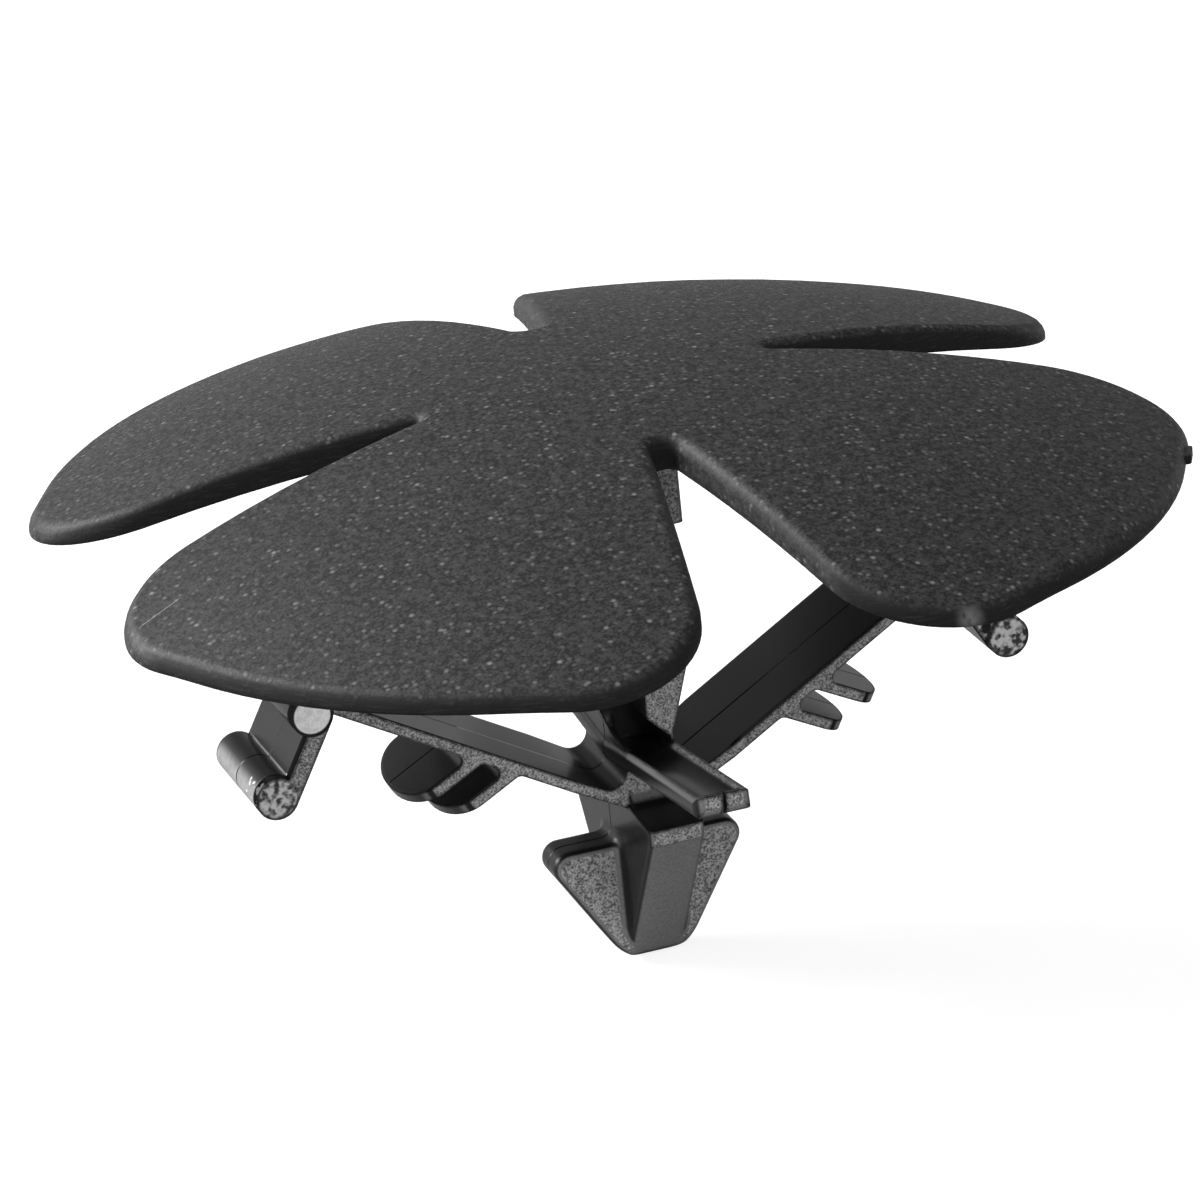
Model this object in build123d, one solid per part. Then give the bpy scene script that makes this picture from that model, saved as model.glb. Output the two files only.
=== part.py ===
from build123d import *
import os
from math import atan2, cos, degrees, hypot, radians, sqrt, tan

# Millimetres. +X runs along the two spring arms, +Y along the bearing bars, +Z up through the head.
# The origin is on the shank's axis, at the level of the catch shoulders that hold the panel from below.

NEAR = 0.01              # tolerance for picking edges and faces
CLEAR = 0.5              # how far a cut starts outside the shank
ROOT_DEPTH = 1.0         # how far shank and saddle run down into the blade
EDGE_SHARE = 0.98        # most of an edge that a rounding may take up

# Head: four petals cut from one shallow dome.
HEAD_TOP = 21.7          # height of the dome's crown above the catch shoulders
HEAD_THICK = 1.73        # wall at the crown
DOME_R = 79.2            # upper face
UNDER_R = 96.0           # lower face, flatter, so the wall thins toward the rim
RIM_BEVEL = 0.4          # the upper rim's rounding, as a bevel with both of its edges eased
RIM_EASE = 0.16
SLIT_APEX = 8.22         # where the slit's two edges would meet, on X
NOTCH_APEX = 6.68        # where the notch's two edges would meet, on Y
SIDE_CORNER = (29.74, 4.72, 6.03)    # x, y of the sharp corner and its rounding
TIP_CORNER = (21.24, 21.34, 25.2)
NOTCH_CORNER = (4.6, 30.08, 5.49)
SLIT_ROOT_R = 0.24
NOTCH_ROOT_R = 0.68
GATE_Y = 12.76           # nub left by the moulding gate on the front right petal, from the centre plane
GATE_NUB = (0.27, 1.5, 0.42)         # how far it stands out, its length and its height
GATE_ROUND = 0.22
GATE_RISE = 0.25         # its middle above the rim's lower edge

# Shank.
SHANK_HALF_X = 2.4
SHANK_HALF_Y = 3.1
WAIST_HALF_X = 1.3
TAPER_TOP = 6.9          # the shank starts to narrow here
TAPER_END = 3.3          # and has reached the waist here
COLLAR_STEP_X = 0.38     # how far the collar stands out from the shank
COLLAR_STEP_Y = 0.45
COLLAR_BOTTOM = 14.3
COLLAR_CORNER_R = 0.3
WEB_HALF_Y = 0.4         # web left on the centre plane where the shank is cored
CORE_TOP = 12.5
CORE_WALL = 0.3          # side wall left beside the bar's trough
CORE_EDGE = 0.15         # thinner wall on the other side
CORE_RISE = 0.3          # rise of that wall's top from the bar's crest to the web
CORE_SWEEP_R = 1.0       # sweep from the web down onto it
CORE_STEP = 4.3          # the core's right side is upright above this height
ROOT_R = 0.85            # rounding between an arm's top and the waist
SADDLE_R = 1.05          # rounding between the waist and the catch shoulders

# Spring arms.
ARM_SLOPE = 30.3         # rise of the arm, degrees
ARM_ROOT = -1.04         # height at which the two undersides would cross on the axis
ARM_THICK = 0.555
ARM_HALF_Y = 3.5
ARM_NECK = (1.7, 4.2)    # the arm widens from the shank's width between these two distances from the axis
BEAD_R = 1.08
KNEE_X = 17.02           # bead at the end of the arm
KNEE_DROP = 0.45568      # its centre below the arm's underside
LINK_RUN = 2.2           # from the knee's centre to the foot's
LINK_FALL = 3.9
LINK_THICK = 0.9

# Fins under each arm.
FIN_X = (6.91, 8.75)     # where the fins' undersides leave the arm
FIN_DROP = 28.0          # degrees below level
FIN_LENGTH = 4.22
FIN_THICK = 0.55
FIN_CROWN = 1.9          # depth of the rounded end
FIN_ROOT_R = 0.42

# Bearing bars, one each way along Y.
BAR_HALF_X = 1.45
BAR_HEIGHT = 1.15
BAR_RISE = 7.35          # degrees
BAR_TOP = 2.5            # height of its upper edges where they would cross the axis
BAR_REACH = 14.15
BAR_EDGE_R = 0.4
BAR_NOSE_R = 0.7
BAR_LIP_R = 0.75         # rounding under the nose
CREST_WIDTH = 0.22       # flat left on each side of the trough
TROUGH_DEPTH = 0.5
TROUGH_STOP = 0.45       # the trough ends this far short of the nose
SPLIT_WIDTH = 0.18
SPLIT_LENGTH = 1.0

# Arrow: a plate across X and a blade across Y, crossing at the tip.
PLATE_TOP = -2.79
PLATE_HALF_X = 5.63      # half width at the top, before the corners are rounded
PLATE_HALF_Y = 1.28
PLATE_CORNER_R = 0.85
PLATE_BEVEL = 0.42
PLATE_TIP = -11.86       # height where the plate's two slopes would meet
PLATE_TIP_R = 2.7
BLADE_HALF_X = 1.45
BLADE_HALF_Y = 6.25
BLADE_SHOULDER = 0.35    # fall of the shoulder toward its ends
BLADE_STRIP = 0.8        # height of the upright strip at the end of the blade
BLADE_TIP = -10.45       # height where the blade's two slopes would meet
BLADE_TIP_R = 1.3
BLADE_EDGE_R = 0.3
ARROW_ROOT_R = 0.6       # rounding between plate and blade


def mirrored(shape, plane):
    return shape + mirror(shape, about=plane)


def rounded(outline, corners, radius):
    """The outline with these corners rounded, limited by the length of the two edges at each."""
    for corner in corners:
        spot = corner.center()
        away = []
        lengths = []
        for edge in outline.edges():
            at_start = (edge @ 0 - spot).length < NEAR
            if at_start or (edge @ 1 - spot).length < NEAR:
                away.append(edge % 0 if at_start else -(edge % 1))
                lengths.append(edge.length)
        half_angle = radians(away[0].get_angle(away[1]) / 2)
        radius = min(radius, EDGE_SHARE * min(lengths) * tan(half_angle))
    return fillet(corners, radius)


def petal_outline():
    """All four petals as one face: straight edges, every corner rounded."""
    quarter = [(SLIT_APEX, 0), SIDE_CORNER[:2], TIP_CORNER[:2], NOTCH_CORNER[:2], (0, NOTCH_APEX)]
    left = [(-x, y) for x, y in quarter[-2::-1]]
    upper = quarter + left
    lower = [(x, -y) for x, y in upper[-2:0:-1]]
    outline = make_face(Polyline(*upper, *lower, close=True))
    groups = [(SIDE_CORNER[:2], SIDE_CORNER[2]), (NOTCH_CORNER[:2], NOTCH_CORNER[2]),
              (TIP_CORNER[:2], TIP_CORNER[2]), ((SLIT_APEX, 0), SLIT_ROOT_R),
              ((0, NOTCH_APEX), NOTCH_ROOT_R)]
    for (x, y), radius in groups:
        spots = [v for v in outline.vertices() if hypot(abs(v.X) - x, abs(v.Y) - y) < NEAR]
        outline = rounded(outline, spots, radius)
    return outline


def head():
    """The dome, cut to the petals' outline. The spheres lie on their sides, with no pole on a petal."""
    low_z = HEAD_TOP - HEAD_THICK
    upper = Pos(0, 0, HEAD_TOP - DOME_R) * Rot(90, 0, 0) * Sphere(DOME_R)
    lower = Pos(0, 0, low_z - UNDER_R) * Rot(90, 0, 0) * Sphere(UNDER_R)
    column = extrude(petal_outline(), 2 * HEAD_TOP)
    plate = (column & upper) - lower
    for size in (RIM_BEVEL, RIM_EASE):
        plate = chamfer(plate.faces().sort_by(Axis.Z)[-1].edges(), size)
    walls = [f for f in plate.faces() if abs(f.normal_at(f.center()).Z) < NEAR]
    return chamfer([wall.edges().sort_by(Axis.Z)[-1] for wall in walls], RIM_EASE)


def gate_nub():
    """Low nub on the straight outer side of the front right petal, at the rim's lower edge."""
    (x0, y0), (x1, y1) = SIDE_CORNER[:2], TIP_CORNER[:2]
    x = x0 + (x1 - x0) * (GATE_Y - y0) / (y1 - y0)
    turn = degrees(atan2(x0 - x1, y1 - y0))
    out, length, height = GATE_NUB
    low_z = HEAD_TOP - HEAD_THICK - UNDER_R + sqrt(UNDER_R**2 - x**2 - GATE_Y**2)
    nub = Box(2 * out, length, height)
    nub = fillet(nub.edges().filter_by(Axis.Z), GATE_ROUND)
    return Pos(x, -GATE_Y, low_z + GATE_RISE) * Rot(0, 0, -turn) * nub


def slab(points, half_y):
    """A face drawn in X and Z, thick both ways along Y."""
    return extrude(Plane.XZ * make_face(Polyline(*points, close=True)), half_y, both=True)


def shank():
    """Stem with a wider collar under the head, a taper and a waist."""
    under = HEAD_TOP - HEAD_THICK / 2
    half = [(SHANK_HALF_X, under), (SHANK_HALF_X, TAPER_TOP), (WAIST_HALF_X, TAPER_END),
            (WAIST_HALF_X, -ROOT_DEPTH)]
    stem = slab(half + [(-x, z) for x, z in half[::-1]], SHANK_HALF_Y)
    height = under - COLLAR_BOTTOM
    half_x = SHANK_HALF_X + COLLAR_STEP_X
    half_y = SHANK_HALF_Y + COLLAR_STEP_Y
    collar = Pos(0, 0, COLLAR_BOTTOM + height / 2) * Box(2 * half_x, 2 * half_y, height)
    upright = collar.edges().filter_by(Axis.Z)
    return stem + fillet(upright, COLLAR_CORNER_R)


def core():
    """Front left quarter of the shank, cut away down to the web and into the bar's trough."""
    crest = BAR_TOP + SHANK_HALF_Y * tan(radians(BAR_RISE))
    front = -SHANK_HALF_Y - CLEAR
    side = make_face(Polyline((front, CORE_TOP), (front, crest), (-SHANK_HALF_Y, crest),
                              (-WEB_HALF_Y, crest + CORE_RISE), (-WEB_HALF_Y, CORE_TOP), close=True))
    bend = [v for v in side.vertices() if hypot(v.X + WEB_HALF_Y, v.Y - crest - CORE_RISE) < NEAR]
    side = fillet(bend, CORE_SWEEP_R)
    quarter = extrude(Plane.YZ * side, -SHANK_HALF_X - CLEAR)
    left = CORE_WALL - WAIST_HALF_X
    right = WAIST_HALF_X - CORE_EDGE
    floor = crest - TROUGH_DEPTH
    outline = [(left, CORE_STEP), (0, CORE_STEP), (right, TAPER_END - CORE_EDGE),
               (right, floor), (left, floor)]
    depth = SHANK_HALF_Y - WEB_HALF_Y
    well = extrude(Plane.XZ * make_face(Polyline(*outline, close=True)), depth)
    return quarter + Pos(0, -WEB_HALF_Y, 0) * well


def arm_underside(x):
    return ARM_ROOT + x * tan(radians(ARM_SLOPE))


def arm_top(x):
    return arm_underside(x) + ARM_THICK / cos(radians(ARM_SLOPE))


def beads():
    """Centres of the knee and the foot, x and z."""
    knee = (KNEE_X, arm_underside(KNEE_X) - KNEE_DROP)
    return knee, (knee[0] + LINK_RUN, knee[1] - LINK_FALL)


def tangent_normal(a, b):
    """Unit normal of the line from a to b, on the side nearer the axis."""
    dx, dz = b[0] - a[0], b[1] - a[1]
    length = hypot(dx, dz)
    return dz / length, -dx / length


def arm():
    """One arm: blade, knee bead, link and foot bead, drawn in X and Z."""
    knee, foot = beads()
    end = KNEE_X
    blade = slab([(0, arm_underside(0)), (end, arm_underside(end)), (end, arm_top(end)), (0, arm_top(0))],
                 ARM_HALF_Y)
    nx, nz = tangent_normal(knee, foot)
    near = BEAD_R
    far = BEAD_R - LINK_THICK
    link = slab([(knee[0] + nx * near, knee[1] + nz * near), (foot[0] + nx * near, foot[1] + nz * near),
                 (foot[0] + nx * far, foot[1] + nz * far), (knee[0] + nx * far, knee[1] + nz * far)],
                ARM_HALF_Y)
    shape = blade + link
    for x, z in (knee, foot):
        disc = Plane.XZ * (Pos(x, z) * Circle(BEAD_R))
        shape += extrude(disc, ARM_HALF_Y, both=True)
    return shape


def fin(x):
    """One fin, with a rounded end, leaving the arm's underside at x."""
    start = -ARM_THICK / 4
    straight = FIN_LENGTH - FIN_CROWN
    plan = make_face([Line((start, ARM_HALF_Y), (start, -ARM_HALF_Y)),
                      Line((start, -ARM_HALF_Y), (straight, -ARM_HALF_Y)),
                      EllipticalCenterArc((straight, 0), FIN_CROWN, ARM_HALF_Y, start_angle=-90,
                                          arc_size=180),
                      Line((straight, ARM_HALF_Y), (start, ARM_HALF_Y))])
    body = extrude(plan, FIN_THICK)
    return Pos(x, 0, arm_underside(x)) * Rot(0, FIN_DROP, 0) * body


def arms():
    one = arm()
    for x in FIN_X:
        one += fin(x)
    roots = []
    for x in FIN_X:
        for e in one.edges().filter_by(Axis.Y):
            c = e.center()
            on_arm = abs(c.Z - arm_underside(c.X)) < NEAR
            if on_arm and -NEAR < c.X - x < 2 * FIN_THICK:
                roots.append(e)
    one = fillet(roots, FIN_ROOT_R)
    inner, outer = ARM_NECK
    end = KNEE_X + LINK_RUN + 2 * BEAD_R
    plan = [(-inner, SHANK_HALF_Y), (inner, SHANK_HALF_Y), (outer, ARM_HALF_Y), (end, ARM_HALF_Y)]
    plan += [(x, -y) for x, y in plan[::-1]]
    column = extrude(make_face(Polyline(*plan, close=True)), HEAD_TOP, both=True)
    return mirrored(one & column, Plane.YZ)


def bar():
    """Front bearing bar: rounded section with a trough along its top and a split nose."""
    w, h = BAR_HALF_X, BAR_HEIGHT
    body = RectangleRounded(2 * w, h, BAR_EDGE_R)
    crest = w - CREST_WIDTH
    trough = make_face([ThreePointArc((-crest, h / 2), (0, h / 2 - TROUGH_DEPTH), (crest, h / 2)),
                        Line((crest, h / 2), (crest, h)), Line((crest, h), (-crest, h)),
                        Line((-crest, h), (-crest, h / 2))])
    length = BAR_REACH / cos(radians(BAR_RISE))
    plan = make_face(Polyline((-w, 0), (w, 0), (w, -length), (-w, -length), close=True))
    plan = fillet(plan.vertices().sort_by(Axis.Y)[:2], BAR_NOSE_R)
    side = make_face(Polyline((0, -h / 2), (0, h / 2), (-length, h / 2), (-length, -h / 2), close=True))
    side = fillet(side.vertices().sort_by(Axis.X)[:2].sort_by(Axis.Y)[:1], BAR_LIP_R)
    beam = extrude(Plane.XZ * body, length) & extrude(plan, h, both=True)
    beam &= extrude(Plane.YZ * side, w, both=True)
    beam -= extrude(Plane.XZ * trough, length - TROUGH_STOP)
    split = Pos(0, SPLIT_LENGTH / 2 - length, 0) * Box(SPLIT_WIDTH, SPLIT_LENGTH, 2 * h)
    beam -= split
    return Pos(0, 0, BAR_TOP - h / 2) * Rot(-BAR_RISE, 0, 0) * beam


def plate_face(top, half_x):
    """Outline of the plate in X and Z: a V with a rounded tip."""
    face = make_face(Polyline((half_x, top), (0, PLATE_TIP), (-half_x, top), close=True))
    return fillet(face.vertices().sort_by(Axis.Y)[:1], PLATE_TIP_R)


def blade_face():
    """Outline of the blade in Y and Z, with the catch shoulders on top and a rounded tip."""
    half = [(SHANK_HALF_Y, 0), (BLADE_HALF_Y, -BLADE_SHOULDER),
            (BLADE_HALF_Y, -BLADE_SHOULDER - BLADE_STRIP)]
    outline = half + [(0, BLADE_TIP)] + [(-y, z) for y, z in half[::-1]]
    face = make_face(Polyline(*outline, close=True))
    return fillet(face.vertices().sort_by(Axis.Y)[:1], BLADE_TIP_R)


def arrow():
    """Plate across X and blade across Y, each cut to the other's slopes so that they share one tip."""
    face = plate_face(PLATE_TOP, PLATE_HALF_X)
    face = fillet(face.vertices().sort_by(Axis.Y)[-2:], PLATE_CORNER_R)
    plate = extrude(Plane.XZ * face, PLATE_HALF_Y, both=True)
    rims = [e for e in plate.edges() if abs(abs(e.center().Y) - PLATE_HALF_Y) < NEAR]
    plate = fillet(rims, PLATE_BEVEL)
    blade = extrude(Plane.YZ * blade_face(), BLADE_HALF_X, both=True)
    rims = [e for e in blade.edges()
            if abs(abs(e.center().X) - BLADE_HALF_X) < NEAR and e.center().Z < -BLADE_SHOULDER]
    blade = fillet(rims, BLADE_EDGE_R)
    plate &= extrude(Plane.YZ * blade_face(), PLATE_HALF_X, both=True)
    half_at_shoulders = PLATE_HALF_X * PLATE_TIP / (PLATE_TIP - PLATE_TOP)
    blade &= extrude(Plane.XZ * plate_face(0, half_at_shoulders), BLADE_HALF_Y, both=True)
    cross = plate + blade
    roots = [e for e in cross.edges().filter_by(Axis.Z)
             if hypot(abs(e.center().X) - BLADE_HALF_X, abs(e.center().Y) - PLATE_HALF_Y) < NEAR]
    return fillet(roots, ARROW_ROOT_R)


def saddle():
    """Rounding between the waist and the front catch shoulder."""
    fall = BLADE_SHOULDER * SADDLE_R / (BLADE_HALF_Y - SHANK_HALF_Y)
    top = SADDLE_R - fall
    front = -SHANK_HALF_Y - SADDLE_R
    block = Polyline((0, -ROOT_DEPTH), (0, top), (front, top), (front, -ROOT_DEPTH), close=True)
    section = make_face(block) - Pos(front, top) * Circle(SADDLE_R)
    return extrude(Plane.YZ * section, WAIST_HALF_X, both=True)


def stem():
    """Shank with its two arms, rounded where their upper faces leave the waist."""
    body = shank() + arms()
    roots = [e for e in body.edges().filter_by(Axis.Y)
             if abs(abs(e.center().X) - WAIST_HALF_X) < NEAR
             and abs(e.center().Z - arm_top(WAIST_HALF_X)) < NEAR]
    return fillet(roots, ROOT_R)


def retainer():
    anchor = stem() + arrow()
    front = bar() + saddle()
    anchor += front + mirror(front, about=Plane.XZ)
    anchor -= core()
    anchor -= Rot(0, 0, 180) * core()
    return head() + gate_nub() + anchor


os.makedirs("parts", exist_ok=True)
clip = retainer()
export_step(clip, "parts/retainer_clip.step")
box = clip.bounding_box()
print("solids", len(clip.solids()), "size", box.size, "min", box.min, "volume", clip.volume)
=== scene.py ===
import math

import bpy
from mathutils import Matrix, Vector


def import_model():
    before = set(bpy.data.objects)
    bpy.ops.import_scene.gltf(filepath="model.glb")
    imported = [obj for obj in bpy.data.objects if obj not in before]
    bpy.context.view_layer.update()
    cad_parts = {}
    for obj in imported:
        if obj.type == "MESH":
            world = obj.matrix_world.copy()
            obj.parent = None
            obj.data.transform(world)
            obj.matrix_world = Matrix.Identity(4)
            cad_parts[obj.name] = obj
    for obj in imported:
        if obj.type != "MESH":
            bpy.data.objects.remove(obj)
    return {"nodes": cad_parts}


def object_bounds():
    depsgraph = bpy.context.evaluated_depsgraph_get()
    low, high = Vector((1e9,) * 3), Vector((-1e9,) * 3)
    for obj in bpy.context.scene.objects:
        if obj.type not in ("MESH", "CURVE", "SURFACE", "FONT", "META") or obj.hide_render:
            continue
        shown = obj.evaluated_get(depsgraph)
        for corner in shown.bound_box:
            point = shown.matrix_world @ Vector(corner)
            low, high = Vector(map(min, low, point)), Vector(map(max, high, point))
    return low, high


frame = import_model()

CAD_BOX = [list(corner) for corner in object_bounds()]
MM = 0.001

# Camera, solved from the outline of the head. Lengths in metres, angles in degrees.
CAM_AZIMUTH = -17.188
CAM_ELEVATION = 21.155
CAM_ROLL = -5.860
CAM_DISTANCE = 329.754 * MM
CAM_AIM = Vector((-1.949, -3.632, 11.244)) * MM
CAM_FOCAL_PX = 6747.75
CAM_NEAR = 0.01
CAM_FAR = 50.0
IMAGE_PX = 1200
SENSOR_MM = 36.0

# Floor. A grey one lights the clip. The one that the camera sees glows up to white, and keeps the shadow.
FLOOR_SIZE = 8.0
FLOOR_TONE = 0.36
FLOOR_SEEN_TONE = 0.32
FLOOR_GLOW = 0.82

# A name that ends in FADE is a pair: the value at which a mask is 0 and the value at which it is 1. The
# first may be the larger one. Lengths are in metres, tones in linear reflectance, directions from -1 to 1.

# Light of the surroundings, by the direction in which they lie.
BACK_LIGHT = 0.41
FRONT_LIGHT = 0.22
ZENITH_LIGHT = 0.26
RIGHT_SHARE = 0.60              # of the level on the left
HORIZON_SHARE = 1.55            # of the level above the horizon
BACK_FADE = (-0.6, 0.5)         # of Y
RIGHT_SIDE_FADE = (0.1, 0.9)    # of X
HORIZON_FADE = (0.2, 0.0)       # of Z
ZENITH_FADE = (0.1, 0.8)        # of Z

# Soft square lamps: name, azimuth and elevation in degrees, distance and side in metres, power in watts.
LAMPS = (
    ("key", 233.0, 36.0, 0.7, 0.4, 10.5),
    ("edge", 112.0, 5.0, 0.8, 0.4, 0.5),
    ("front", -58.0, 4.0, 0.8, 0.4, 1.8),
    ("left", -100.0, 2.0, 0.8, 0.5, 1.6),
    ("low", 35.0, 2.0, 0.8, 0.4, 1.2),
    ("high", 10.0, 34.0, 0.8, 0.4, 2.5),
)

# Places on the clip. The head is all that lies outside the sphere of its underside. The beads' axes are
# those of the right arm, which the left one mirrors.
DOME_UNDER_R = 96.0 * MM
DOME_UNDER_TOP = 19.97 * MM
DOME_UNDER_CENTRE = (0.0, 0.0, DOME_UNDER_TOP - DOME_UNDER_R)
KNEE = (17.02 * MM, 0.0, 8.45 * MM)
FOOT = (19.22 * MM, 0.0, 4.55 * MM)
HEAD_FADE = (DOME_UNDER_R - 0.15 * MM, DOME_UNDER_R - 0.05 * MM)    # from that sphere's centre
TOP_FADE = (-0.25, 0.0)             # of the normal's Z: what doesn't look down
SPARK_FADE = (0.90, 0.97)           # of the normal's Y, to either side
CLEAR_FADE = (0.6 * MM, 0.9 * MM)   # from the parting plane
ARM_FADE = (4.0 * MM, 5.0 * MM)     # from the plane X = 0
LINK_FADE = (15.0 * MM, 15.5 * MM)  # from the plane X = 0: links and beads
RIGHT_FADE = (5.0 * MM, 15.0 * MM)  # of X
FOOT_FADE = (1.3 * MM, 0.8 * MM)    # from the foot bead's axis

# Rounding of the edges in the shading.
EDGE_R = 0.25 * MM
END_R = 0.38 * MM                       # on the arrow, the bars' noses and the ends of the beads
CREASE_R = 0.03 * MM                    # in the crease between link and bead
RIM_R = 0.35 * MM
ARROW_FADE = (0.0, -0.4 * MM)           # of Z
NOSE_FADE = (7.5 * MM, 8.0 * MM)        # from the parting plane
BEAD_END_FADE = (2.6 * MM, 2.9 * MM)    # from the parting plane
EDGE_FADE = (0.99, 0.90)                # of the cosine between the face's normal and the eased one
BEVEL_SAMPLES = 6

# Painted shade on the head's rim, a dark band where it looks to the front. On the right it ends sooner.
RIM_TILT_FADE = (0.90, 0.50)        # of the eased normal's Z
RIM_FRONT_FADE = (-0.10, -0.50)     # of the eased normal's Y, shifted on the right
RIM_RIGHT_SHIFT = 0.35

# Painted shade: a dark band along the front edge of the arms' smooth faces, where they round over toward the
# front.
ARM_BAND_FADE = (-3.15 * MM, -3.3 * MM)     # of Y
LINK_BAND_FADE = (-2.85 * MM, -3.0 * MM)    # of Y
LEAN = 2.0

# Textures: the size of their lumps.
MOTTLE_SIZE = 0.36 * MM
FINE_SIZE = 0.15 * MM
CRUMB_SIZE = 0.11 * MM
LUMP_SIZE = 0.30 * MM
STREAK_SIZE = 0.9 * MM
BRUISE_SIZE = 0.45 * MM
WAVE_SIZE = 2.2 * MM
CRUMB_SHARE = 0.75          # of the crumbs' own noise, the rest is mottle
CRUMB_FADE = (0.32, 0.68)

# Head's top.
TOP_DARK = 0.005
TOP_PALE = 0.028
# Painted glints of the grain: many faint specks and a few bright glints.
SPECK_GLINT_TONE = 0.095
GLINT_TONE = 0.17
# Painted shade on the rim, with faint paler streaks.
RIM_SHADE_TONE = 0.004
STREAK_TONE = 0.012
SCRATCH_TONE = 0.16
CLOUD_SHARE = 0.45          # of the mottle, the rest is the fine noise
CLOUD_FADE = (0.38, 0.62)
STREAK_STRETCH = (1.0, 1.0, 9.0)
STREAK_FADE = (0.52, 0.72)
SCRATCH_FROM = Vector((-26.2, -8.5, 16.7)) * MM
SCRATCH_TO = Vector((-23.7, -7.9, 17.6)) * MM
SCRATCH_HALF_WIDTH = 0.05 * MM

# Smooth faces. They carry a painted reflection where they slope toward the front or back, and wear with a
# painted highlight outside the foot beads.
SMOOTH_TONE = 0.007
SLOPE_REFLECTION_TONE = 0.17
WORN_AND_HIGHLIGHT_TONE = 0.22
# Painted shade on the eased edges, the front band and the beads' rings, and the dark of the smudge.
SHADE_AND_SMUDGE_TONE = 0.002
VARIATION = 0.4                             # share by which a tone rises and falls with a texture
SLOPE_FADE = (0.6, 0.83)                    # of the normal's Y, to either side
FOOT_SIDE_FADE = (1.25 * MM, 1.15 * MM)     # from the foot bead's axis
WORN_AND_HIGHLIGHT_FADE = (0.60, 1.00)                    # of the normal's turn away from the shank

# Painted highlights on the rough crests on both sides of the bars' troughs.
CREST_HIGHLIGHT_TONE = 0.45
LEFT_CREST_SHARE = 0.35
RIGHT_CREST_DARK_SHARE = 0.1
BAR_FADE = (3.3 * MM, 3.8 * MM)             # from the parting plane
BAR_SIDE_FADE = (1.5 * MM, 1.45 * MM)       # from the plane X = 0
CREST_FADE = (0.85 * MM, 1.05 * MM)         # from the plane X = 0
CREST_UP_FADE = (0.15, 0.45)                # of the normal's Z
CREST_HEIGHT_FADE = (1.4 * MM, 1.8 * MM)    # of Z
RIGHT_CREST_FADE = (-0.1 * MM, 0.1 * MM)    # of X

# Spark texture. Its grey is a painted sheen over the black plastic.
SPARK_SHEEN_DARK = 0.08
SPARK_SHEEN_PALE = 0.44

# Crumbly ends of the foot beads, with a smudge round the right one.
FOOT_DARK = 0.03
FOOT_TONE = 0.58
FOOT_LUMP_FADE = (0.34, 0.64)
SMUDGE_FADE = (2.4 * MM, 1.6 * MM)      # from the foot bead's axis
SMUDGE_LUMP_FADE = (0.45, 0.70)

# Pale discs on the ends of the knee beads, pin marks with their highlight painted in, and rings of painted
# shade round them and at the feet's lower edges.
KNEE_PIN_MARK_HIGHLIGHT_TONE = 1.00
KNEE_DARK_SHARE = 0.8
KNEE_FADE = (0.95 * MM, 0.88 * MM)              # from the knee bead's axis
KNEE_MOTTLE_FADE = (0.3, 0.7)
KNEE_RING_FADE = (1.14 * MM, 1.08 * MM)         # from the knee bead's axis
FOOT_RING_FADE = (0.94 * MM, 1.0 * MM)          # from the foot bead's axis
FOOT_RING_HEIGHT_FADE = (5.5 * MM, 5.1 * MM)    # of Z

# White marks on the outer sides of the foot beads, near the front.
BRUISE_TONE = 0.60
BRUISE_FRONT_FADE = (-1.5 * MM, -1.8 * MM)      # of Y
BRUISE_OUT_FADE = (0.2, 0.6)                    # of the normal's turn away from the shank
BRUISE_SPOT_FADE = (0.60, 0.70)                 # of its own noise

# Parting line on the plane Y = 0, and the painted highlight on the ridge that it leaves on the left arm's
# top.
PARTING_TONE = 0.003
PARTING_FADE = (0.09 * MM, 0.05 * MM)       # from the parting plane
RIDGE_HIGHLIGHT_TONE = 0.45
RIDGE_OUTER_FADE = (-8.9 * MM, -8.8 * MM)   # of X
RIDGE_INNER_FADE = (-3.0 * MM, -3.5 * MM)   # of X
RIDGE_UP_FADE = (0.4, 0.6)                  # of the normal's Z
RIDGE_HEIGHT_FADE = (0.5 * MM, 1.0 * MM)    # of Z
RIDGE_WIDTH_FADE = (0.14 * MM, 0.07 * MM)   # from the parting plane

# Pale spot on the rim of the front right petal.
PALE_SPOT_TONE = 0.13
PALE_SPOT = (8.4 * MM, -27.0 * MM, 15.9 * MM)
PALE_SPOT_FADE = (0.9 * MM, 0.1 * MM)      # from that point
PALE_SPOT_MOTTLE_FADE = (0.05, 0.60)

# Roughness and gloss.
TOP_ROUGH = 0.56
RIM_ROUGH = 0.85
SPARK_ROUGH = 0.45
SMOOTH_ROUGH = 0.30
EDGE_ROUGH = 0.90
PLASTIC_IOR = 1.5
SPECULAR = 0.28

# Relief: how much each texture counts. The two halves of the mould meet with a small step.
RELIEF_DEPTH = 0.04 * MM
RELIEF_STRENGTH = 0.7
TOP_MOTTLE_RELIEF = 0.35
TOP_FINE_RELIEF = 0.5
SPECK_RELIEF = 0.5
SCRATCH_RELIEF = 0.5
CRUMB_RELIEF = 0.8
SPARK_FINE_RELIEF = 0.4
LUMP_RELIEF = 2.0
WAVE_RELIEF = 0.12
MOULD_STEP_RELIEF = 2.0
MOULD_STEP_FADE = (-0.07 * MM, 0.07 * MM)   # of Y


def direction(azimuth, elevation):
    """Unit vector from the clip toward a camera or lamp. Azimuth 0 is the front, 90 the right."""
    az = math.radians(azimuth)
    el = math.radians(elevation)
    return Vector((math.sin(az) * math.cos(el), -math.cos(az) * math.cos(el), math.sin(el)))


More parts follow.
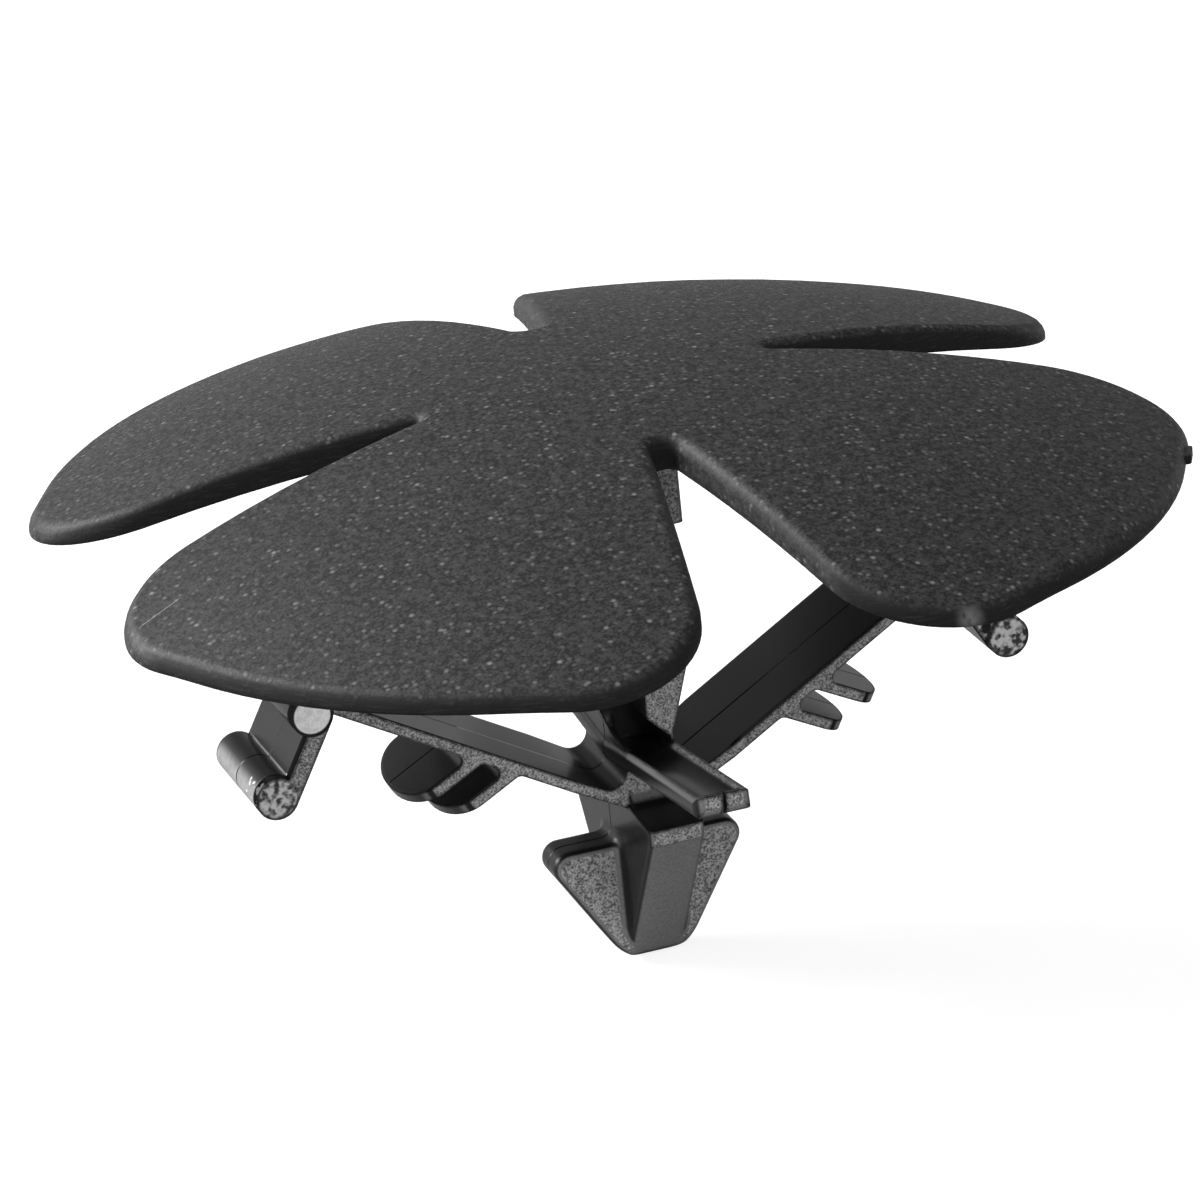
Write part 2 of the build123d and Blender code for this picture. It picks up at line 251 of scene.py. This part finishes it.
def camera():
    """Camera at the photograph's angle."""
    azimuth = math.radians(CAM_AZIMUTH)
    roll = math.radians(CAM_ROLL)
    back = direction(CAM_AZIMUTH, CAM_ELEVATION)
    level = Vector((math.cos(azimuth), math.sin(azimuth), 0.0))
    upright = back.cross(level)
    right = level * math.cos(roll) + upright * math.sin(roll)
    up = back.cross(right)
    turn = Matrix((right, up, back)).transposed()
    data = bpy.data.cameras.new("camera")
    data.sensor_width = SENSOR_MM
    data.lens = CAM_FOCAL_PX / IMAGE_PX * SENSOR_MM
    data.clip_start = CAM_NEAR
    data.clip_end = CAM_FAR
    obj = bpy.data.objects.new("camera", data)
    obj.matrix_world = Matrix.Translation(CAM_AIM + back * CAM_DISTANCE) @ turn.to_4x4()
    bpy.context.scene.collection.objects.link(obj)
    bpy.context.scene.camera = obj


def grey(tone):
    """Colour of one tone."""
    return (tone, tone, tone, 1.0)


class Nodes:
    """Short helper for building a node tree."""

    def __init__(self, tree):
        self.tree = tree
        tree.nodes.clear()

    def put(self, node, name, value):
        """Link a socket to a node's input, or set the input to a plain value."""
        socket = node.inputs[name]
        if isinstance(value, bpy.types.NodeSocket):
            self.tree.links.new(value, socket)
        else:
            socket.default_value = value

    def add(self, kind, *values, operation=None, **inputs):
        """New node with its inputs given in order or by name, in which an underscore stands for a space."""
        node = self.tree.nodes.new(kind)
        if operation:
            node.operation = operation
        for index, value in enumerate(values):
            self.put(node, index, value)
        for name, value in inputs.items():
            self.put(node, name.replace("_", " "), value)
        return node

    def math(self, operation, *values):
        """Number from numbers."""
        return self.add("ShaderNodeMath", *values, operation=operation).outputs["Value"]

    def vector(self, operation, *values):
        """Vector from vectors."""
        return self.add("ShaderNodeVectorMath", *values, operation=operation).outputs["Vector"]

    def measure(self, operation, *values):
        """Number from vectors, such as their distance."""
        return self.add("ShaderNodeVectorMath", *values, operation=operation).outputs["Value"]

    def parts(self, vector):
        """X, Y and Z of a vector."""
        split = self.add("ShaderNodeSeparateXYZ", Vector=vector)
        return (split.outputs["X"], split.outputs["Y"], split.outputs["Z"])

    def product(self, first, *others):
        """All the numbers multiplied."""
        total = first
        for value in others:
            total = self.math("MULTIPLY", total, value)
        return total

    def sum(self, *shares):
        """Sum of numbers, each times its share."""
        total = 0.0
        for value, share in shares:
            total = self.math("ADD", self.math("MULTIPLY", value, share), total)
        return total

    def step(self, value, fade):
        """0 at the fade's first value, 1 at its second, smooth between."""
        falling = fade[0] > fade[1]
        node = self.add("ShaderNodeMapRange", Value=value, From_Min=min(fade), From_Max=max(fade),
                        To_Min=float(falling), To_Max=float(not falling))
        node.interpolation_type = "SMOOTHSTEP"
        return node.outputs["Result"]

    def blend(self, factor, a, b):
        """Number between a, where the factor is 0, and b, where it is 1."""
        return self.add("ShaderNodeMix", Factor=factor, A=a, B=b).outputs["Result"]

    def noise(self, place, size, detail):
        """Soft noise whose lumps are about this far apart."""
        return self.add("ShaderNodeTexNoise", Vector=place, Scale=1 / size, Detail=detail).outputs["Fac"]

    def specks(self, place, spacing, core, edge, rarity):
        """Scattered dots of mixed strength. Core and edge are shares of the spacing."""
        cells = self.add("ShaderNodeTexVoronoi", Vector=place, Scale=1 / spacing)
        chance = self.add("ShaderNodeSeparateColor", Color=cells.outputs["Color"]).outputs["Red"]
        dot = self.step(cells.outputs["Distance"], (edge, core))
        return self.product(dot, self.math("POWER", chance, rarity))

    def reach(self, place, start, way):
        """How far a place lies from the start in the given direction."""
        return self.math("SUBTRACT", self.measure("DOT_PRODUCT", place, way), way.dot(start))

    def line(self, place, start, end, half_width, taper=0.4 * MM, core=0.3):
        """Thin line from start to end, as seen from above. Its core is a share of its width."""
        run = end - start
        run.z = 0.0
        along = run.normalized()
        across = along.cross(Vector((0.0, 0.0, 1.0)))
        forward = self.reach(place, start, along)
        beside = self.math("ABSOLUTE", self.reach(place, start, across))
        return self.product(
            self.step(forward, (0.0, taper)),
            self.step(forward, (run.length, run.length - taper)),
            self.step(beside, (half_width, core * half_width)))

    def to_camera(self, lighting, seen):
        """Shader that lights the clip as the first one, and that the camera sees as the second."""
        ray = self.add("ShaderNodeLightPath").outputs["Is Camera Ray"]
        return self.add("ShaderNodeMixShader", ray, lighting, seen).outputs["Shader"]


class Plastic(Nodes):
    """Black moulded plastic. The head's top is grained matt, faces along Y are spark textured, the rest is
    smooth. Readings, masks from 0 to 1 and textures are sockets of the node tree.
    """

    def __init__(self, tree):
        super().__init__(tree)
        self.read_surface()
        self.find_zones()
        self.make_textures()
        tone = self.tone()
        colour = self.add("ShaderNodeCombineColor", Red=tone, Green=tone, Blue=tone).outputs["Color"]
        bump = self.add("ShaderNodeBump", Height=self.relief(), Distance=RELIEF_DEPTH,
                        Strength=RELIEF_STRENGTH, Normal=self.leaning_normal())
        shader = self.add("ShaderNodeBsdfPrincipled", Base_Color=colour, Roughness=self.roughness(),
                          IOR=PLASTIC_IOR, Specular_IOR_Level=SPECULAR, Normal=bump.outputs["Normal"])
        self.add("ShaderNodeOutputMaterial", Surface=shader.outputs["BSDF"])

    def read_surface(self):
        """Where the shaded point lies, which way its face looks, and how far it is from the beads' axes."""
        self.place = self.add("ShaderNodeTexCoord").outputs["Object"]
        self.x, self.y, self.z = self.parts(self.place)
        self.off_shank = self.math("ABSOLUTE", self.x)
        self.off_parting = self.math("ABSOLUTE", self.y)
        self.normal = self.add("ShaderNodeNewGeometry").outputs["Normal"]
        normal_x, normal_y, self.up = self.parts(self.normal)
        self.along_y = self.math("ABSOLUTE", normal_y)
        self.outward = self.product(normal_x, self.math("SIGN", self.x))
        in_right_arm = self.add("ShaderNodeCombineXYZ", X=self.off_shank, Z=self.z).outputs["Vector"]
        self.from_knee = self.measure("DISTANCE", in_right_arm, KNEE)
        self.from_foot = self.measure("DISTANCE", in_right_arm, FOOT)

    def find_zones(self):
        """Masks that more than one step needs: the head and its top, the right side, the links and beads,
        what is clear of the parting line, spark textured and smooth faces, the ends of the foot beads, the
        eased edges, which get painted shade, the rim's painted shade and the front band of painted shade.
        """
        self.head = self.step(self.measure("DISTANCE", self.place, DOME_UNDER_CENTRE), HEAD_FADE)
        self.top = self.product(self.head, self.step(self.up, TOP_FADE))
        self.right = self.step(self.x, RIGHT_FADE)
        self.link = self.step(self.off_shank, LINK_FADE)
        self.clear = self.step(self.off_parting, CLEAR_FADE)
        below = self.math("SUBTRACT", 1.0, self.top)
        self.spark = self.product(self.step(self.along_y, SPARK_FADE), below, self.clear)
        self.smooth = self.math("SUBTRACT", below, self.spark)
        self.foot = self.product(self.step(self.from_foot, FOOT_FADE), self.spark)
        self.eased = self.eased_normal()
        turned = self.measure("DOT_PRODUCT", self.eased, self.normal)
        self.edge = self.product(self.step(turned, EDGE_FADE), below)
        self.rim = self.painted_shade_rim()
        self.band = self.front_shade_band()

    def eased_normal(self):
        """Normal that rounds the edges over, by a radius for each zone."""
        end = self.math("MAXIMUM", self.step(self.z, ARROW_FADE), self.step(self.off_parting, NOSE_FADE))
        middle_r = self.blend(end, EDGE_R, END_R)
        link_r = self.blend(self.step(self.off_parting, BEAD_END_FADE), CREASE_R, END_R)
        radius = self.blend(self.head, self.blend(self.link, middle_r, link_r), RIM_R)
        bevel = self.add("ShaderNodeBevel", Radius=radius)
        bevel.samples = BEVEL_SAMPLES
        return bevel.outputs["Normal"]

    def painted_shade_rim(self):
        """Mask of the painted shade on the head's rim, where it looks to the front."""
        facing_y, facing_z = self.parts(self.eased)[1:]
        shifted = self.math("ADD", facing_y, self.product(self.right, RIM_RIGHT_SHIFT))
        return self.product(self.top, self.step(facing_z, RIM_TILT_FADE), self.step(shifted, RIM_FRONT_FADE))

    def front_shade_band(self):
        """Mask of the painted shade along the smooth faces' front edge, on the arms and wider on the links
        and beads.
        """
        wide = self.product(self.step(self.y, LINK_BAND_FADE), self.link)
        narrow = self.product(self.step(self.y, ARM_BAND_FADE), self.step(self.off_shank, ARM_FADE))
        return self.product(self.math("MAXIMUM", wide, narrow), self.smooth)

    def make_textures(self):
        """Textures that both the tone and the relief follow."""
        self.mottle = self.noise(self.place, MOTTLE_SIZE, detail=1.0)
        self.fine = self.noise(self.place, FINE_SIZE, detail=1.0)
        self.lumps = self.noise(self.place, LUMP_SIZE, detail=1.5)
        own = self.noise(self.place, CRUMB_SIZE, detail=1.0)
        self.crumb = self.step(self.sum((own, CRUMB_SHARE), (self.mottle, 1 - CRUMB_SHARE)), CRUMB_FADE)
        self.dots = self.specks(self.place, spacing=0.40 * MM, core=0.10, edge=0.42, rarity=1.8)
        self.scratch = self.line(self.place, SCRATCH_FROM, SCRATCH_TO, SCRATCH_HALF_WIDTH)

    def varied(self, texture, tone):
        """Tone that rises and falls with a texture."""
        return self.blend(texture, (1 - VARIATION) * tone, (1 + VARIATION) * tone)

    def tone(self):
        """Tone of the whole clip, each layer over the one before."""
        tone = self.smooth_tone()
        tone = self.with_crest_highlights(tone)
        # Spark faces: crumbly texture, its grey a painted sheen.
        tone = self.blend(self.spark, tone, self.blend(self.crumb, SPARK_SHEEN_DARK, SPARK_SHEEN_PALE))
        tone = self.with_feet(tone)
        # Painted shade on the eased edges.
        tone = self.blend(self.edge, tone, SHADE_AND_SMUDGE_TONE)
        tone = self.with_rings_and_discs(tone)
        tone = self.with_bruises(tone)
        tone = self.with_parting_line(tone)
        tone = self.blend(self.top, tone, self.top_tone())
        return self.with_pale_spot(tone)

    def smooth_tone(self):
        """Near black, with a painted reflection on the slopes, wear with a painted highlight on the outer
        sides of the foot beads, and painted shade in the front band.
        """
        slope = self.product(self.step(self.along_y, SLOPE_FADE), self.clear)
        worn_and_highlight = self.product(self.step(self.from_foot, FOOT_SIDE_FADE), self.smooth,
                            self.step(self.outward, WORN_AND_HIGHLIGHT_FADE))
        # Painted reflection on the slopes, then wear with a painted highlight on the foot beads' outer sides.
        tone = self.blend(slope, SMOOTH_TONE, self.varied(self.fine, SLOPE_REFLECTION_TONE))
        tone = self.blend(worn_and_highlight, tone, self.varied(self.mottle, WORN_AND_HIGHLIGHT_TONE))
        # Painted shade in the front band.
        return self.blend(self.band, tone, SHADE_AND_SMUDGE_TONE)

    def with_crest_highlights(self, tone):
        """Tone with painted highlights on the crests beside the bars' troughs, the left ones plain and the
        right ones crumbly.
        """
        on_bar = self.product(self.step(self.off_parting, BAR_FADE), self.step(self.off_shank, BAR_SIDE_FADE))
        crest = self.product(on_bar, self.step(self.off_shank, CREST_FADE),
                             self.step(self.up, CREST_UP_FADE), self.step(self.z, CREST_HEIGHT_FADE))
        on_right = self.step(self.x, RIGHT_CREST_FADE)
        plain = LEFT_CREST_SHARE * CREST_HIGHLIGHT_TONE
        dark = self.blend(on_right, plain, RIGHT_CREST_DARK_SHARE * CREST_HIGHLIGHT_TONE)
        pale = self.blend(on_right, plain, CREST_HIGHLIGHT_TONE)
        return self.blend(crest, tone, self.blend(self.crumb, dark, pale))

    def with_feet(self, tone):
        """Tone with the crumbly ends of the foot beads, and the smudge round the right one."""
        smudge = self.product(self.step(self.from_foot, SMUDGE_FADE), self.right, self.spark)
        smudge_tone = self.blend(self.step(self.lumps, SMUDGE_LUMP_FADE), SHADE_AND_SMUDGE_TONE, FOOT_TONE)
        foot_tone = self.blend(self.step(self.lumps, FOOT_LUMP_FADE), FOOT_DARK, FOOT_TONE)
        tone = self.blend(smudge, tone, smudge_tone)
        return self.blend(self.foot, tone, foot_tone)

    def with_rings_and_discs(self, tone):
        """Tone with rings of painted shade on the ends of the beads, and the knee beads' pale discs, pin
        marks with a painted highlight.
        """
        knee_ring = self.product(self.step(self.from_knee, KNEE_RING_FADE), self.spark)
        foot_ring = self.product(self.step(self.from_foot, FOOT_RING_FADE),
                                 self.step(self.z, FOOT_RING_HEIGHT_FADE), self.foot)
        disc = self.product(self.step(self.from_knee, KNEE_FADE), self.spark)
        mottled = self.step(self.mottle, KNEE_MOTTLE_FADE)
        disc_tone = self.blend(mottled, KNEE_DARK_SHARE * KNEE_PIN_MARK_HIGHLIGHT_TONE, KNEE_PIN_MARK_HIGHLIGHT_TONE)
        # Rings of painted shade, then the discs with their painted highlight.
        tone = self.blend(self.math("MAXIMUM", knee_ring, foot_ring), tone, SHADE_AND_SMUDGE_TONE)
        return self.blend(disc, tone, disc_tone)

    def with_bruises(self, tone):
        """Tone with the small white marks on the outer sides of the foot beads."""
        spots = self.step(self.noise(self.place, BRUISE_SIZE, detail=1.0), BRUISE_SPOT_FADE)
        bruise = self.product(self.step(self.from_foot, FOOT_SIDE_FADE), self.smooth,
                              self.step(self.y, BRUISE_FRONT_FADE), self.step(self.outward, BRUISE_OUT_FADE),
                              spots)
        return self.blend(bruise, tone, BRUISE_TONE)

    def with_parting_line(self, tone):
        """Tone with the dark parting line on the smooth faces, and the painted highlight on the ridge on the
        left arm.
        """
        parting = self.product(self.step(self.off_parting, PARTING_FADE), self.smooth)
        ridge = self.product(self.step(self.x, RIDGE_OUTER_FADE), self.step(self.x, RIDGE_INNER_FADE),
                             self.step(self.up, RIDGE_UP_FADE), self.step(self.z, RIDGE_HEIGHT_FADE),
                             self.step(self.off_parting, RIDGE_WIDTH_FADE))
        tone = self.blend(parting, tone, PARTING_TONE)
        return self.blend(ridge, tone, RIDGE_HIGHLIGHT_TONE)

    def top_tone(self):
        """Head's top: mottling, pale specks and a few glints painted in as the grain's glints, painted shade
        on the rim with faint streaks, a scratch.
        """
        cloud = self.step(self.sum((self.mottle, CLOUD_SHARE), (self.fine, 1 - CLOUD_SHARE)), CLOUD_FADE)
        glints = self.specks(self.place, spacing=0.95 * MM, core=0.04, edge=0.19, rarity=1.2)
        streaks = self.noise(self.vector("MULTIPLY", self.place, STREAK_STRETCH), STREAK_SIZE, detail=2.0)
        rim_tone = self.blend(self.step(streaks, STREAK_FADE), RIM_SHADE_TONE, STREAK_TONE)
        tone = self.blend(self.dots, self.blend(cloud, TOP_DARK, TOP_PALE), SPECK_GLINT_TONE)
        tone = self.blend(glints, tone, GLINT_TONE)
        tone = self.blend(self.rim, tone, rim_tone)
        return self.blend(self.scratch, tone, SCRATCH_TONE)

    def with_pale_spot(self, tone):
        """Tone with the pale spot on the rim of the front right petal."""
        near = self.step(self.measure("DISTANCE", self.place, PALE_SPOT), PALE_SPOT_FADE)
        spot = self.product(near, self.step(self.mottle, PALE_SPOT_MOTTLE_FADE))
        return self.blend(spot, tone, PALE_SPOT_TONE)

    def roughness(self):
        """High on the top, higher on its rim and the eased edges, and lowest on the smooth faces."""
        lower = self.blend(self.edge, SMOOTH_ROUGH, EDGE_ROUGH)
        lower = self.blend(self.spark, lower, SPARK_ROUGH)
        return self.blend(self.top, lower, self.blend(self.rim, TOP_ROUGH, RIM_ROUGH))

    def leaning_normal(self):
        """Eased normal, turned further to the front in the smooth faces' front band."""
        lean = self.add("ShaderNodeCombineXYZ", Y=self.product(self.band, -LEAN)).outputs["Vector"]
        return self.vector("NORMALIZE", self.vector("ADD", self.eased, lean))

    def relief(self):
        """Height for the bump, from the textures of each zone."""
        top = self.sum((self.mottle, TOP_MOTTLE_RELIEF), (self.fine, TOP_FINE_RELIEF),
                       (self.dots, SPECK_RELIEF), (self.scratch, SCRATCH_RELIEF))
        spark = self.sum((self.crumb, CRUMB_RELIEF), (self.fine, SPARK_FINE_RELIEF),
                         (self.product(self.foot, self.lumps), LUMP_RELIEF))
        smooth = self.sum((self.noise(self.place, WAVE_SIZE, detail=3.0), WAVE_RELIEF),
                          (self.step(self.y, MOULD_STEP_FADE), MOULD_STEP_RELIEF))
        return self.blend(self.top, self.blend(self.spark, smooth, spark), top)


def plastic():
    """Material of the clip."""
    mat = bpy.data.materials.new("black_plastic")
    mat.use_nodes = True
    Plastic(mat.node_tree)
    return mat


def floor():
    """Pale floor at the arrow's tip."""
    low = CAD_BOX[0][2]
    half = FLOOR_SIZE / 2
    corners = [(-half, -half, low), (half, -half, low), (half, half, low), (-half, half, low)]
    mesh = bpy.data.meshes.new("floor")
    mesh.from_pydata(corners, [], [(0, 1, 2, 3)])
    obj = bpy.data.objects.new("floor", mesh)
    bpy.context.scene.collection.objects.link(obj)
    mat = bpy.data.materials.new("floor")
    mat.use_nodes = True
    nodes = Nodes(mat.node_tree)
    lighting = nodes.add("ShaderNodeBsdfDiffuse", Color=grey(FLOOR_TONE)).outputs["BSDF"]
    faint = nodes.add("ShaderNodeBsdfDiffuse", Color=grey(FLOOR_SEEN_TONE)).outputs["BSDF"]
    glow = nodes.add("ShaderNodeEmission", Color=grey(1.0), Strength=FLOOR_GLOW).outputs["Emission"]
    seen = nodes.add("ShaderNodeAddShader", faint, glow).outputs["Shader"]
    nodes.add("ShaderNodeOutputMaterial", Surface=nodes.to_camera(lighting, seen))
    mesh.materials.append(mat)


def world():
    """Pale surroundings, brighter behind the clip than in front of it, white to the camera."""
    surroundings = bpy.data.worlds.new("world")
    bpy.context.scene.world = surroundings
    surroundings.use_nodes = True
    nodes = Nodes(surroundings.node_tree)
    x, y, z = nodes.parts(nodes.add("ShaderNodeTexCoord").outputs["Generated"])
    level = nodes.product(
        nodes.blend(nodes.step(y, BACK_FADE), FRONT_LIGHT, BACK_LIGHT),
        nodes.blend(nodes.step(x, RIGHT_SIDE_FADE), 1.0, RIGHT_SHARE),
        nodes.blend(nodes.step(z, HORIZON_FADE), 1.0, HORIZON_SHARE))
    level = nodes.blend(nodes.step(z, ZENITH_FADE), level, ZENITH_LIGHT)
    lighting = nodes.add("ShaderNodeBackground", Color=grey(1.0), Strength=level).outputs["Background"]
    seen = nodes.add("ShaderNodeBackground", Color=grey(1.0), Strength=1.0).outputs["Background"]
    nodes.add("ShaderNodeOutputWorld", Surface=nodes.to_camera(lighting, seen))


def soft_light(name, azimuth, elevation, distance, side, power):
    """Square soft light that faces the clip."""
    away = direction(azimuth, elevation)
    turn = away.to_track_quat("Z", "Y").to_matrix().to_4x4()
    data = bpy.data.lights.new(name, "AREA")
    data.shape = "SQUARE"
    data.size = side
    data.energy = power
    obj = bpy.data.objects.new(name, data)
    obj.matrix_world = Matrix.Translation(away * distance) @ turn
    bpy.context.scene.collection.objects.link(obj)


clip = frame["nodes"]["retainer_clip"]
skin = plastic()
for slot in clip.material_slots:
    slot.material = skin
floor()
world()
for lamp in LAMPS:
    soft_light(*lamp)
camera()
bpy.context.scene.view_settings.view_transform = "Standard"
